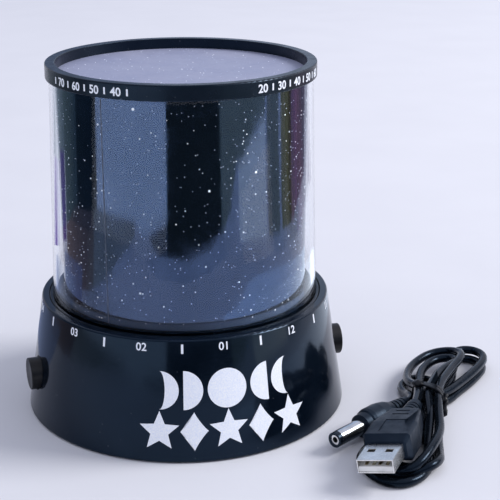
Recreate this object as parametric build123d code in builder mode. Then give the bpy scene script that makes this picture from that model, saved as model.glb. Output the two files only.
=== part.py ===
from build123d import *
import os
from math import atan2, cos, degrees, radians, sin, sqrt, tan

# Star planetarium projector with its USB power lead, in millimetres.
# The origin is the centre of the base's footprint on the table, +Z is up and the front, where month 1 is
# printed, faces -Y. Azimuths are measured from the front towards +X.

os.makedirs("parts", exist_ok=True)

# ---------------------------------------------------------------- drum
tube_foot_radius = 47.1
tube_taper = 2.0  # radius that the clear tube loses up to its top
tube_wall = 1.5
film_space = 0.5  # between the film and the tube where the tube is narrowest
film_thickness = 0.5
disc_thickness = 0.6
disc_lap = 0.15  # the disc stops this far inside the tube
spacer_height = 1.3
rim_height = 5.2
rim_wall = 1.12
rim_land = 3.45  # width of the rim's flat top
rim_web = 2.0  # its thickness
rim_recess = 3.7  # rim's top down to the disc
object_height = 123.9

# ---------------------------------------------------------------- socket ring, in which the drum stands
socket_floor = 1.6
socket_lip = 1.0  # thickness of its outer lip
guide_wall = 1.4  # thickness of its inner lip, inside the film
guide_height = 4.0

# ---------------------------------------------------------------- base housing
base_height = 41.3  # table to the top edge
base_flare = 6.4  # radius that the base gains down to its foot
rim_lift = 0.3  # bottom rim above the table, on rubber feet
wall = 2.0
ledge_width = 2.4  # flat ring round the top
seat_depth = 3.0  # ledge down to the deck
deck_thickness = 2.0
collar_wall = 1.2  # upstand that centres the socket ring
collar_height = 3.2
shoulder_round = 0.7
foot_round = 0.6

# ---------------------------------------------------------------- bottom cover, with a tray for three AA cells
cover_thickness = 3.0
cell_pitch = 15.2
cell_side_gap = 0.5
bay_length = 59.0
bay_height = 16.2
tray_wall = 1.5
door_overlap = 1.9  # door beyond the bay on each side
door_thickness = 1.6
door_sink = 0.2  # door's face above the cover's underside
door_gap = 0.3
scoop_radius = 6.0  # finger scoop at the door's free end
scoop_depth = 1.2
hinge_inset = 1.2  # door's end to its hinge axis
hinge_pin_radius = 0.6
hinge_pin_length = 1.6
hinge_pin_clearance = 0.06
tongue_width = 10.0  # snap tongue, cut free of the door on two sides
tongue_length = 10.0
tongue_slot = 0.8
groove_size = (14.0, 1.0)  # finger grooves behind the tongue
groove_pitch = 2.4
groove_count = 4
groove_depth = 0.5
groove_middle = 15.0  # door's free end to the middle groove

# ---------------------------------------------------------------- battery contacts
plate_size = 9.0
plate_thickness = 0.4
nub_radius = 2.2
nub_height = 0.5
nub_taper = 25
spring_wire = 0.4  # wire's radius
spring_base_radius = 4.2
spring_narrowing = 1.5
spring_length = 5.5
spring_turns = 3.0

# ---------------------------------------------------------------- buttons and their switches
button_azimuth = 86.0
button_height = 15.9  # table to the button's axis
button_radius = 5.65
button_proud = 3.17
button_travel = 1.5
button_gap = 0.35
button_round = 0.35
flange_width = 1.35
flange_thickness = 1.0
flange_gap = 1.0  # flange to the housing's wall, at its nearest
plunger_radius = 1.6
plunger_length = 4.0
plunger_clearance = 0.08
plunger_bore_depth = 4.0
switch_size = 8.0
switch_length = 12.0
cradle_wall = 1.2
cradle_cheek = 4.0
cradle_setback = 0.5

# ---------------------------------------------------------------- power jack at the back
jack_height = 13.0  # table to the jack's axis
jack_width = 9.0
jack_body_height = 10.0
jack_length = 10.7
jack_gap = 0.6  # body to the housing's wall
jack_recess = 0.6  # mouth behind the housing's face
jack_nose_radius = 4.0
jack_bore_radius = 2.95
jack_bore_depth = 9.5
jack_pin_radius = 1.0
jack_pin_short = 1.5  # pin's tip behind the jack's mouth
jack_pin_round = 0.5
pedestal_short = 4.0
pedestal_shift = 1.0

# ---------------------------------------------------------------- LED post and LEDs
post_radius = 9.0
post_wall = 1.8
post_flange_radius = 15.0
post_flange = 2.0
post_rise = 17.2  # deck to the LED board
post_cup_radius = 13.0
post_cup_wall = 1.2
post_cup_floor = 1.5
post_cup_depth = 2.5
post_cup_splay = 2.0  # height of the cone under the cup
post_boss_radius = 2.6
post_boss_drop = 6.0
post_pilot_depth = 6.5
led_radius = 2.5
led_flange_radius = 2.9
led_flange = 1.0
led_height = 8.6
led_circle = 6.6  # of the three coloured LEDs

# ---------------------------------------------------------------- main board and what it carries
board_thickness = 1.6
board_length = 52.0
board_width = 40.0
board_corner = 2.0
board_drop = 8.0  # deck's underside down to the board's top
board_boss_radius = 3.0
board_boss_inset = (4.0, 5.0)  # from the board's edges
board_pilot_depth = 5.5
connector_size = (6.0, 8.0, 4.0)
connector_inset = 2.0
chip_size = (5.0, 4.0, 1.6)
chip_spot = (-9.0, -12.0)
chip_pin = (0.4, 1.6, 0.6)
chip_pin_pitch = 1.27
chip_pin_span = 5.6
capacitor_radius = 3.0
capacitor_height = 6.0
capacitor_spot = (12.0, -11.0)
resistor_radius = 1.0
resistor_length = 4.5
resistor_spots = ((-1.0, -8.0), (-1.0, -12.0), (-1.0, -16.0))

# ---------------------------------------------------------------- wires inside the base
wire_radius = 0.6
wire_bend = 1.3
wire_spread = 2.0
battery_wire_spots = ((-3.0, -13.0), (3.0, -13.0))
led_wire_pitch = 5.0

# ---------------------------------------------------------------- screws and feet
boss_radius = 3.5
boss_inset = 1.9  # boss to the housing's wall
boss_gap = 2.0  # boss to the battery tray
pilot_depth = 9.0
screw_shank = 1.2
screw_head = 2.6
screw_head_height = 1.5
screw_head_sink = 0.4
screw_head_bevel = 0.35
screw_cross = 3.2
screw_cross_depth = 0.8
small_shank = 0.9
small_head = 1.8
small_head_height = 1.2
small_cross = 2.2
small_cross_depth = 0.6
thread_end = 1.0  # screw's tip above the pilot hole's end
pilot_clearance = 0.02
hole_clearance = 0.2
head_clearance = 0.3
foot_pad_radius = 5.0
foot_pad_sink = 1.0
foot_pad_inset = 3.7  # pad to the cover's edge
foot_pad_round = 0.4

# ---------------------------------------------------------------- clearances
running_gap = 0.3  # between round faces that turn or slide
glued_gap = 0.05

# ---------------------------------------------------------------- USB plug of the lead
cable_radius = 1.6
plug_bed = 3.2  # height of the cable layer that the USB plug lies on
usb_tip = (38.1, -91.5)  # middle of the plug's open end
usb_heading = 38.5  # its axis, from +Y towards +X
usb_roll = 11.0  # its right side is raised by this angle
usb_shell = (12.0, 4.5)
usb_sheet = 0.3
usb_shell_length = 12.0
usb_shell_sink = 4.0
usb_window = (2.5, 2.3)
usb_window_spot = (3.0, 7.0)  # off the axis, and from the open end
usb_corner = 1.2
usb_nose = (14.0, 6.0)
usb_grip = (16.0, 9.5)
usb_tail = (10.8, 7.4)
usb_grip_full = 14.4  # open end to where the grip has its full section
usb_grip_shoulder = 24.0
usb_grip_end = 37.0
usb_relief_end = 48.0
usb_panel = (7.8, 9.5)  # recess in the grip's upper face
usb_panel_spot = (0.6, 21.2)  # off the axis to the right, and from the open end
usb_panel_depth = 0.3
usb_grooves = ((31.2, 5.7), (34.5, 4.8))  # from the open end, and width
usb_groove_width = 0.8
usb_groove_depth = 0.5
usb_relief_core = 2.4
usb_ridge_radius = 3.2
usb_ridge_start = 1.0
usb_ridge_pitch = 2.2
usb_ridge_length = 1.3
ridge_count = 4
ridge_narrowing = 0.15
tongue_height = 1.9
tongue_setback = 0.3
contact_size = (1.0, 0.2)
contact_spots = (-3.5, -1.0, 1.0, 3.5)
contact_start = 1.5
contact_length = 9.0

# ---------------------------------------------------------------- DC plug of the lead
dc_tip = (35.2, -62.8)
dc_heading = 59.5
dc_barrel_radius = 2.75
dc_barrel_length = 14.0
dc_sink = 3.0
dc_tip_ring = 1.6
dc_tip_step = 0.1
dc_bore_radius = 1.05
dc_contact_radius = 1.75
dc_contact_setback = 0.3
dc_insulator_radius = 2.3
dc_grip_radius = 5.0
dc_relief_core = 2.3
dc_ridge_radius = 3.0
dc_ridge_pitch = 1.9
dc_ridge_neck = 0.7
dc_grip_length = 17.0
dc_relief_end = 40.0

# ---------------------------------------------------------------- hank of the lead and its tie
hank_middle = 6.4  # height of the hank's middle layer
hank_height = 10.6
hank_round = 1.6
tie_centre = (78.2, -42.3)
tie_heading = 30.0
tie_width = 2.4
tie_outer = (12.4, 11.6)
tie_band = 0.9
tie_round = 1.0
run_share = 0.45  # of a run that the arc at its end may take
hank_foot_outline = [
    (41.6, -66.6),
    (38.2, -72.5),
    (38.0, -81.0),
    (41.0, -88.0),
    (46.5, -92.4),
    (53.5, -92.7),
    (60.5, -89.3),
    (66.8, -84.5),
    (70.0, -77.5),
    (76.5, -62.5),
    (84.6, -47.2),
    (90.2, -40.2),
    (103.2, -29.4),
    (112.6, -20.6),
    (116.8, -12.2),
    (115.4, -5.4),
    (109.6, -2.9),
    (98.0, -3.4),
    (88.0, -7.6),
    (80.8, -15.4),
    (75.4, -21.6),
    (72.6, -28.8),
    (73.0, -34.8),
    (73.6, -41.0),
    (70.5, -46.5),
    (64.0, -52.0),
    (57.0, -57.2),
    (49.5, -61.8),
]
hank_middle_outline = [
    (56.5, -87.5),
    (60.5, -88.5),
    (66.5, -83.5),
    (69.5, -77.5),
    (76.0, -62.5),
    (84.2, -47.5),
    (90.0, -40.0),
    (103.0, -29.3),
    (112.4, -20.6),
    (116.8, -12.0),
    (115.2, -5.2),
    (109.4, -2.9),
    (98.0, -3.4),
    (88.0, -7.6),
    (81.0, -15.2),
    (76.4, -23.5),
    (74.4, -30.0),
    (73.4, -37.5),
    (71.2, -41.4),
    (71.4, -44.6),
    (73.2, -46.0),
    (73.4, -51.5),
    (70.6, -60.5),
    (63.4, -74.0),
    (59.8, -80.0),
]
hank_top_outline = [
    (58.0, -86.5),
    (60.5, -86.5),
    (66.5, -80.5),
    (72.0, -69.5),
    (78.6, -57.0),
    (84.0, -46.5),
    (92.0, -34.5),
    (101.0, -23.5),
    (106.4, -13.0),
    (103.4, -8.8),
    (97.5, -15.0),
    (90.0, -22.5),
    (82.5, -31.0),
    (76.5, -35.0),
    (73.4, -40.0),
    (73.2, -46.0),
    (73.4, -51.5),
    (70.6, -60.5),
    (63.4, -74.0),
    (59.8, -80.0),
]

# ---------------------------------------------------------------- radii that follow, from the tube outwards and inwards
tube_top_radius = tube_foot_radius - tube_taper
film_radius = tube_top_radius - tube_wall - film_space
lip_inner = tube_foot_radius + running_gap
socket_outer = lip_inner + socket_lip
ledge_inner = socket_outer + running_gap
shoulder_radius = ledge_inner + ledge_width
foot_radius = shoulder_radius + base_flare
guide_outer = film_radius - film_thickness - running_gap
socket_inner = guide_outer - guide_wall
collar_radius = socket_inner - running_gap

# ---------------------------------------------------------------- levels that follow, from the table upwards
cover_top = rim_lift + cover_thickness
door_face = rim_lift + door_sink
door_top = door_face + door_thickness
bay_roof = door_top + bay_height
tray_top = bay_roof + tray_wall
deck_top = base_height - seat_depth
deck_under = deck_top - deck_thickness
board_top = deck_under - board_drop
board_under = board_top - board_thickness
connector_middle = board_top + connector_size[2] / 2
tube_foot = deck_top + socket_floor
film_foot = tube_foot + running_gap
tube_top = object_height - rim_web
rim_foot = object_height - rim_height
disc_top = object_height - rim_recess
disc_under = disc_top - disc_thickness


# ---------------------------------------------------------------- helpers
def finish(piece, name):
    """Labels a finished piece and writes its file."""
    piece.part.label = name
    export_step(piece.part, f"parts/{name}.step")


def housing_radius(z):
    """Outer radius of the base housing at a height."""
    return foot_radius - base_flare * (z - rim_lift) / (base_height - rim_lift)


def tube_radius(z):
    """Outer radius of the drum's clear tube at a height."""
    return tube_foot_radius - tube_taper * (z - tube_foot) / (tube_top - tube_foot)


def side_plane(azimuth, z, reach):
    """Plane across a radius of the base: its normal points outwards and its Y points up."""
    a = radians(azimuth)
    out = Vector(sin(a), -cos(a), 0)
    return Plane(origin=out * reach + Vector(0, 0, z), x_dir=(cos(a), sin(a), 0), z_dir=out)


def lead_plane(tip, heading, z, along=0.0):
    """Plane across a plug of the lead, some way behind its tip: its normal points to the cable, its Y up."""
    a = radians(heading)
    back = Vector(sin(a), cos(a), 0)
    return Plane(
        origin=Vector(tip[0], tip[1], z) + back * along,
        x_dir=(-cos(a), sin(a), 0),
        z_dir=back,
    )


def turn(outline):
    """Revolves an outline of (radius, height) points about the drum's axis."""
    with BuildSketch(Plane.XZ) as section:
        with BuildLine():
            Polyline(*outline, close=True)
        make_face()
    revolve(section.sketch, axis=Axis.Z)


def columns(spots, radius, z, height, mode=Mode.ADD):
    """Upright cylinders or holes, from one level up or, with a negative height, down."""
    with BuildSketch(Plane.XY.offset(z)) as rounds:
        with Locations(*spots):
            Circle(radius)
    extrude(rounds.sketch, amount=height, mode=mode)


def block(centre, size, z, height, mode=Mode.ADD):
    """An upright rectangular block or cut."""
    with BuildSketch(Plane.XY.offset(z)) as outline:
        with Locations(centre):
            Rectangle(*size)
    extrude(outline.sketch, amount=height, mode=mode)


def across(plane, radius, length, mode=Mode.ADD):
    """A cylinder or a hole along a plane's normal."""
    with BuildSketch(plane) as rounds:
        Circle(radius)
    extrude(rounds.sketch, amount=length, mode=mode)


def cross_recess(plane, spots, size, depth):
    """Cuts a driver's cross in screw heads, to a depth along the plane's normal."""
    with BuildSketch(plane) as cross:
        with Locations(*spots):
            Rectangle(size, size * 0.22)
            Rectangle(size * 0.22, size)
    extrude(cross.sketch, amount=depth, mode=Mode.SUBTRACT)


def circle_edges(piece, radius, z):
    """Round edges of a turned piece, with one radius and at one level."""
    return piece.edges().filter_by(
        lambda e: e.geom_type == GeomType.CIRCLE
        and abs(e.radius - radius) < 0.01
        and abs(e.center().Z - z) < 0.01
    )


# ---------------------------------------------------------------- places that several pieces share
bay_width = 3 * cell_pitch + 2 * cell_side_gap
tray_end = bay_length / 2 + tray_wall
boss_circle = housing_radius(deck_under) - wall - boss_radius - boss_inset
boss_y = tray_end + boss_gap + boss_radius
boss_x = sqrt(boss_circle**2 - boss_y**2)
boss_spots = [(boss_x, boss_y), (-boss_x, boss_y), (-boss_x, -boss_y), (boss_x, -boss_y)]
post_screw_x = (post_radius + post_flange_radius) / 2
post_screw_spots = [(-post_screw_x, 0), (post_screw_x, 0)]
board_boss_x = board_length / 2 - board_boss_inset[0]
board_boss_y = board_width / 2 - board_boss_inset[1]
board_spots = [(x, y) for x in (-board_boss_x, board_boss_x) for y in (-board_boss_y, board_boss_y)]
button_sides = (("left", -button_azimuth), ("right", button_azimuth))
flange_radius = button_radius + flange_width
button_face = housing_radius(button_height) + button_proud
flange_face = housing_radius(button_height + flange_radius) - wall - flange_gap
flange_back = flange_face - flange_thickness
switch_front = flange_back - plunger_length
switch_back = switch_front - switch_length
jack_top = jack_height + jack_body_height / 2
jack_front = housing_radius(jack_top) - wall - jack_gap
jack_back = jack_front - jack_length
jack_mouth = housing_radius(jack_height) - jack_recess
cover_radius = housing_radius(cover_top) - wall - running_gap
foot_pad_circle = cover_radius - foot_pad_radius - foot_pad_inset
foot_pads = [(foot_pad_circle * cos(radians(a)), foot_pad_circle * sin(radians(a))) for a in (30, 150, 210, 330)]
door_width = bay_width + 2 * door_overlap
door_length = bay_length + 2 * door_overlap
hinge_y = hinge_inset - door_length / 2
hinge_z = door_top - door_thickness / 2

# ---------------------------------------------------------------- base housing
inner_foot = housing_radius(rim_lift) - wall
inner_top = housing_radius(deck_under) - wall
post_hole = post_radius + glued_gap
with BuildPart() as base_housing:
    turn(
        [
            (foot_radius, rim_lift),
            (shoulder_radius, base_height),
            (ledge_inner, base_height),
            (ledge_inner, deck_top),
            (collar_radius, deck_top),
            (collar_radius, deck_top + collar_height),
            (collar_radius - collar_wall, deck_top + collar_height),
            (collar_radius - collar_wall, deck_top),
            (post_hole, deck_top),
            (post_hole, deck_under),
            (inner_top, deck_under),
            (inner_foot, rim_lift),
        ]
    )
    fillet(circle_edges(base_housing, shoulder_radius, base_height), shoulder_round)
    fillet(circle_edges(base_housing, foot_radius, rim_lift), foot_round)
    # bosses for the cover screws, the LED post's screws and the main board's screws
    columns(boss_spots, boss_radius, cover_top, deck_under - cover_top)
    columns(post_screw_spots, post_boss_radius, deck_under, -post_boss_drop)
    columns(board_spots, board_boss_radius, board_top, board_drop)
    columns(boss_spots, screw_shank + pilot_clearance, cover_top, pilot_depth, Mode.SUBTRACT)
    columns(post_screw_spots, small_shank + pilot_clearance, deck_top, -post_pilot_depth, Mode.SUBTRACT)
    columns(board_spots, small_shank + pilot_clearance, board_top, board_pilot_depth, Mode.SUBTRACT)
    # holes for the buttons and the jack's nose
    for side_name, azimuth in button_sides:
        hole_start = side_plane(azimuth, button_height, flange_face - flange_thickness)
        across(hole_start, button_radius + button_gap, button_face - flange_face, Mode.SUBTRACT)
    hole_start = side_plane(180, jack_height, jack_front - jack_gap)
    across(hole_start, jack_nose_radius + running_gap, foot_radius - jack_front, Mode.SUBTRACT)
finish(base_housing, "base_housing")

# ---------------------------------------------------------------- socket ring
with BuildPart() as socket_ring:
    turn(
        [
            (socket_inner, deck_top),
            (socket_outer, deck_top),
            (socket_outer, base_height),
            (lip_inner, base_height),
            (lip_inner, tube_foot),
            (guide_outer, tube_foot),
            (guide_outer, tube_foot + guide_height),
            (socket_inner, tube_foot + guide_height),
        ]
    )
    fillet(circle_edges(socket_ring, socket_outer, base_height), socket_lip * 0.3)
finish(socket_ring, "socket_ring")

# ---------------------------------------------------------------- drum
with BuildPart() as drum_tube:
    turn(
        [
            (tube_foot_radius - tube_wall, tube_foot),
            (tube_foot_radius, tube_foot),
            (tube_top_radius, tube_top),
            (tube_top_radius - tube_wall, tube_top),
        ]
    )
finish(drum_tube, "drum_tube")

with BuildPart() as star_film:
    turn(
        [
            (film_radius - film_thickness, film_foot),
            (film_radius, film_foot),
            (film_radius, disc_under),
            (film_radius - film_thickness, disc_under),
        ]
    )
finish(star_film, "star_film")

with BuildPart() as star_disc:
    columns([(0, 0)], tube_radius(disc_under) - tube_wall - disc_lap, disc_under, disc_thickness)
finish(star_disc, "star_disc")

spacer_top = film_foot + spacer_height
with BuildPart() as spacer_ring:
    turn(
        [
            (film_radius + glued_gap, film_foot),
            (tube_radius(film_foot) - tube_wall - glued_gap, film_foot),
            (tube_radius(spacer_top) - tube_wall - glued_gap, spacer_top),
            (film_radius + glued_gap, spacer_top),
        ]
    )
finish(spacer_ring, "spacer_ring")

skirt_inner = tube_radius(rim_foot) + glued_gap
rim_radius = skirt_inner + rim_wall
rim_opening = rim_radius - rim_land
web_outer = tube_top_radius - tube_wall - glued_gap
with BuildPart() as top_rim:
    turn(
        [
            (rim_radius, rim_foot),
            (rim_radius, object_height),
            (rim_opening, object_height),
            (rim_opening, disc_top),
            (web_outer, disc_top),
            (web_outer, tube_top),
            (skirt_inner, tube_top),
            (skirt_inner, rim_foot),
        ]
    )
    fillet(circle_edges(top_rim, rim_radius, object_height), rim_wall * 0.4)
    fillet(circle_edges(top_rim, rim_radius, rim_foot), rim_wall * 0.4)
    fillet(circle_edges(top_rim, rim_opening, object_height), rim_wall * 0.25)
finish(top_rim, "top_rim")

# ---------------------------------------------------------------- bottom cover with the battery tray
recess_size = (door_width + 2 * door_gap, door_length + 2 * door_gap)
recess_depth = door_top - rim_lift
pocket_size = (recess_size[0], 2 * (hinge_inset + door_gap))
pin_reach = door_width / 2 + hinge_pin_length + 2 * door_gap
cradle_floor = button_height - switch_size / 2
cradle_middle = (switch_front + switch_back) / 2
cradle_length = switch_length - 2 * cradle_setback
switch_slot = switch_size + 2 * glued_gap
pedestal_y = (jack_front + jack_back) / 2 - pedestal_shift
with BuildPart() as bottom_cover:
    columns([(0, 0)], cover_radius, rim_lift, cover_thickness)
    block((0, 0), (bay_width + 2 * tray_wall, 2 * tray_end), rim_lift, tray_top - rim_lift)
    block((0, 0), (bay_width, bay_length), rim_lift, bay_roof - rim_lift, Mode.SUBTRACT)
    # recess that the door closes into, its hinge pocket and pin holes, and the finger scoop
    block((0, 0), recess_size, rim_lift, recess_depth, Mode.SUBTRACT)
    block((0, hinge_y), pocket_size, rim_lift, recess_depth + door_gap, Mode.SUBTRACT)
    columns([(0, door_length / 2)], scoop_radius, rim_lift, scoop_depth, Mode.SUBTRACT)
    pin_start = Plane(origin=(-pin_reach, hinge_y, hinge_z), z_dir=(1, 0, 0))
    across(pin_start, hinge_pin_radius + hinge_pin_clearance, 2 * pin_reach, Mode.SUBTRACT)
    # cradles for the two switches
    for side_name, azimuth in button_sides:
        cradle = side_plane(azimuth, cradle_floor, cradle_middle)
        cradle_foot = Plane(origin=cradle.origin, x_dir=cradle.z_dir, z_dir=(0, 0, 1))
        with BuildSketch(cradle_foot):
            Rectangle(cradle_length, switch_slot + 2 * cradle_wall)
        extrude(amount=cover_top - cradle_floor)
        with BuildSketch(cradle_foot):
            Rectangle(cradle_length, switch_slot + 2 * cradle_wall)
            Rectangle(switch_length, switch_slot, mode=Mode.SUBTRACT)
        extrude(amount=cradle_cheek)
    # pedestal under the jack
    block(
        (0, pedestal_y),
        (jack_width, jack_length - pedestal_short),
        cover_top,
        jack_height - jack_body_height / 2 - cover_top,
    )
    # screw holes and seats for the rubber feet
    columns(boss_spots, screw_head + head_clearance, rim_lift, screw_head_height + screw_head_sink, Mode.SUBTRACT)
    columns(boss_spots, screw_shank + hole_clearance, rim_lift, cover_thickness, Mode.SUBTRACT)
    columns(foot_pads, foot_pad_radius + glued_gap, rim_lift, foot_pad_sink, Mode.SUBTRACT)
finish(bottom_cover, "bottom_cover")

# ---------------------------------------------------------------- battery door
tongue_y = (door_length - tongue_length) / 2
with BuildPart() as battery_door:
    block((0, hinge_inset / 2), (door_width, door_length - hinge_inset), door_face, door_thickness)
    knuckle = Plane(origin=(-door_width / 2, hinge_y, hinge_z), z_dir=(1, 0, 0))
    across(knuckle, door_thickness / 2, door_width)
    across(knuckle.offset(-hinge_pin_length), hinge_pin_radius, door_width + 2 * hinge_pin_length)
    for side in (-1, 1):
        slot_spot = (side * tongue_width / 2, tongue_y)
        block(slot_spot, (tongue_slot, tongue_length), door_face, door_thickness, Mode.SUBTRACT)
    for step in range(groove_count):
        groove_y = door_length / 2 - groove_middle + (step - (groove_count - 1) / 2) * groove_pitch
        block((0, groove_y), groove_size, door_face, groove_depth, Mode.SUBTRACT)
finish(battery_door, "battery_door")

# ---------------------------------------------------------------- battery contacts
cell_height = (door_top + bay_roof) / 2
cell_columns = (-cell_pitch, 0.0, cell_pitch)
spring_sides = (-1, 1, -1)
spring_cone = -degrees(atan2(spring_narrowing, spring_length))


def end_plane(side, x):
    """Plane on an end wall of the bay at a cell's axis, with its normal pointing into the bay."""
    return Plane(origin=(x, side * bay_length / 2, cell_height), x_dir=(1, 0, 0), z_dir=(0, -side, 0))


with BuildPart() as battery_springs:
    for x, side in zip(cell_columns, spring_sides):
        end_wall = end_plane(side, x)
        with BuildSketch(end_wall):
            Rectangle(plate_size, plate_size)
        extrude(amount=plate_thickness)
        with BuildLine() as coil:
            Helix(
                spring_length / spring_turns,
                spring_length - 2 * spring_wire,
                spring_base_radius,
                center=end_wall.offset(plate_thickness + spring_wire * 0.8).origin,
                direction=end_wall.z_dir,
                cone_angle=spring_cone,
            )
        with BuildSketch(Plane(origin=coil.line @ 0, z_dir=coil.line % 0)):
            Circle(spring_wire)
        sweep(path=coil.line, is_frenet=True)
finish(battery_springs, "battery_springs")

with BuildPart() as battery_plates:
    for x, side in zip(cell_columns, spring_sides):
        end_wall = end_plane(-side, x)
        with BuildSketch(end_wall):
            Rectangle(plate_size, plate_size)
        extrude(amount=plate_thickness)
        with BuildSketch(end_wall.offset(plate_thickness)):
            Circle(nub_radius)
        extrude(amount=nub_height, taper=nub_taper)
finish(battery_plates, "battery_plates")

# ---------------------------------------------------------------- screws and feet
head_face = rim_lift + screw_head_sink
head_seat = head_face + screw_head_height
with BuildPart() as cover_screws:
    columns(boss_spots, screw_head, head_face, screw_head_height)
    columns(boss_spots, screw_shank, head_seat, cover_top - head_seat + pilot_depth - thread_end)
    chamfer(cover_screws.edges().group_by(Axis.Z)[0], screw_head_bevel)
    cross_recess(Plane.XY.offset(head_face), boss_spots, screw_cross, screw_cross_depth)
finish(cover_screws, "cover_screws")

with BuildPart() as rubber_feet:
    columns(foot_pads, foot_pad_radius, 0, rim_lift + foot_pad_sink)
    fillet(rubber_feet.edges().group_by(Axis.Z)[0], foot_pad_round)
finish(rubber_feet, "rubber_feet")

# ---------------------------------------------------------------- LED post and LEDs
cup_top = deck_top + post_rise
cup_under = cup_top - post_cup_floor
cup_inner = post_cup_radius - post_cup_wall
post_bore = post_radius - post_wall
led_seat = cup_top + board_thickness
with BuildPart() as led_post:
    turn(
        [
            (post_bore, deck_under),
            (post_radius, deck_under),
            (post_radius, deck_top),
            (post_flange_radius, deck_top),
            (post_flange_radius, deck_top + post_flange),
            (post_radius, deck_top + post_flange),
            (post_radius, cup_under - post_cup_splay),
            (post_cup_radius, cup_under),
            (post_cup_radius, cup_top + post_cup_depth),
            (cup_inner, cup_top + post_cup_depth),
            (cup_inner, cup_top),
            (post_bore, cup_top),
        ]
    )
    columns(post_screw_spots, small_shank + hole_clearance, deck_top, post_flange, Mode.SUBTRACT)
finish(led_post, "led_post")

with BuildPart() as led_board:
    columns([(0, 0)], cup_inner - glued_gap, cup_top, board_thickness)
finish(led_board, "led_board")


def led_spot(azimuth):
    """Place of a coloured LED on its circle."""
    return (led_circle * cos(radians(azimuth)), led_circle * sin(radians(azimuth)))


led_places = {"white_led": (0, 0), "red_led": led_spot(90), "green_led": led_spot(210), "blue_led": led_spot(330)}
for led_name, spot in led_places.items():
    with BuildPart() as led:
        columns([spot], led_flange_radius, led_seat, led_flange)
        columns([spot], led_radius, led_seat + led_flange, led_height - led_flange - led_radius)
        with Locations((spot[0], spot[1], led_seat + led_height - led_radius)):
            Sphere(led_radius)
    finish(led, led_name)

flange_top = deck_top + post_flange
with BuildPart() as post_screws:
    columns(post_screw_spots, small_head, flange_top, small_head_height)
    columns(post_screw_spots, small_shank, flange_top, thread_end - post_flange - post_pilot_depth)
    cross_recess(
        Plane.XY.offset(flange_top + small_head_height),
        post_screw_spots,
        small_cross,
        -small_cross_depth,
    )
finish(post_screws, "post_screws")

# ---------------------------------------------------------------- main board and what it carries
connector_x = board_length / 2 - connector_size[0] / 2 - connector_inset
connector_y = board_width / 2 - connector_size[0] / 2
connector_face = connector_x + connector_size[0] / 2
connector_shift = -switch_back * cos(radians(button_azimuth))  # in line with the switches' backs
with BuildPart() as main_board:
    with BuildSketch(Plane.XY.offset(board_under)):
        RectangleRounded(board_length, board_width, board_corner)
        with Locations(*board_spots):
            Circle(small_shank + hole_clearance, mode=Mode.SUBTRACT)
    extrude(amount=board_thickness)
finish(main_board, "main_board")

with BuildPart() as board_screws:
    columns(board_spots, small_head, board_under, -small_head_height)
    columns(board_spots, small_shank, board_under, board_thickness + board_pilot_depth - thread_end)
finish(board_screws, "board_screws")

with BuildPart() as wire_connectors:
    for x in (-connector_x, connector_x):
        block((x, connector_shift), connector_size[:2], board_top, connector_size[2])
    block((0, connector_y), (connector_size[1], connector_size[0]), board_top, connector_size[2])
finish(wire_connectors, "wire_connectors")

with BuildPart() as control_chip:
    block(chip_spot, chip_size[:2], board_top, chip_size[2])
    with BuildSketch(Plane.XY.offset(board_top)):
        with Locations(chip_spot):
            with GridLocations(chip_pin_pitch, chip_pin_span, 4, 2):
                Rectangle(chip_pin[0], chip_pin[1])
    extrude(amount=chip_pin[2])
finish(control_chip, "control_chip")

with BuildPart() as capacitor:
    columns([capacitor_spot], capacitor_radius, board_top, capacitor_height)
    fillet(capacitor.edges().group_by(Axis.Z)[-1], 0.4)
finish(capacitor, "capacitor")

with BuildPart() as resistors:
    for x, y in resistor_spots:
        across(Plane(origin=(x, y, board_top + resistor_radius), z_dir=(1, 0, 0)), resistor_radius, resistor_length)
finish(resistors, "resistors")

# ---------------------------------------------------------------- buttons and switches
for side_name, azimuth in button_sides:
    with BuildPart() as button:
        across(side_plane(azimuth, button_height, flange_back), flange_radius, flange_thickness)
        across(side_plane(azimuth, button_height, flange_face), button_radius, button_face - flange_face)
        face_edge = button.edges().filter_by(GeomType.CIRCLE).sort_by_distance((0, 0, button_height))[-1]
        fillet(face_edge, button_round)
        plunger = side_plane(azimuth, button_height, switch_front - button_travel)
        across(plunger, plunger_radius, plunger_length + button_travel)
    finish(button, f"{side_name}_button")

    with BuildPart() as switch:
        with BuildSketch(side_plane(azimuth, button_height, switch_back)):
            Rectangle(switch_size, switch_size)
        extrude(amount=switch_length)
        bore = side_plane(azimuth, button_height, switch_front - plunger_bore_depth)
        across(bore, plunger_radius + plunger_clearance, plunger_bore_depth, Mode.SUBTRACT)
    finish(switch, f"{side_name}_switch")

# ---------------------------------------------------------------- DC jack
with BuildPart() as dc_jack:
    with BuildSketch(side_plane(180, jack_height, jack_back)):
        Rectangle(jack_width, jack_body_height)
    extrude(amount=jack_length)
    across(side_plane(180, jack_height, jack_front), jack_nose_radius, jack_mouth - jack_front)
    across(side_plane(180, jack_height, jack_mouth), jack_bore_radius, -jack_bore_depth, Mode.SUBTRACT)
    across(side_plane(180, jack_height, jack_back), jack_pin_radius, jack_length, Mode.SUBTRACT)
finish(dc_jack, "dc_jack")

with BuildPart() as dc_jack_pin:
    across(side_plane(180, jack_height, jack_back), jack_pin_radius, jack_mouth - jack_pin_short - jack_back)
    tip_edge = dc_jack_pin.edges().filter_by(GeomType.CIRCLE).sort_by(Axis.Y)[-1]
    fillet(tip_edge, jack_pin_round)
finish(dc_jack_pin, "dc_jack_pin")


# ---------------------------------------------------------------- wires inside the base
def wire(points):
    """A wire along straight runs with round corners."""
    with BuildLine() as route:
        FilletPolyline(*points, radius=wire_bend)
    with BuildSketch(Plane(origin=route.line @ 0, z_dir=route.line % 0)) as section:
        Circle(wire_radius)
    sweep(section.sketch, path=route.line)


with BuildPart() as battery_wires:
    columns(battery_wire_spots, wire_radius, tray_top, board_under - tray_top)
finish(battery_wires, "battery_wires")

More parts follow.
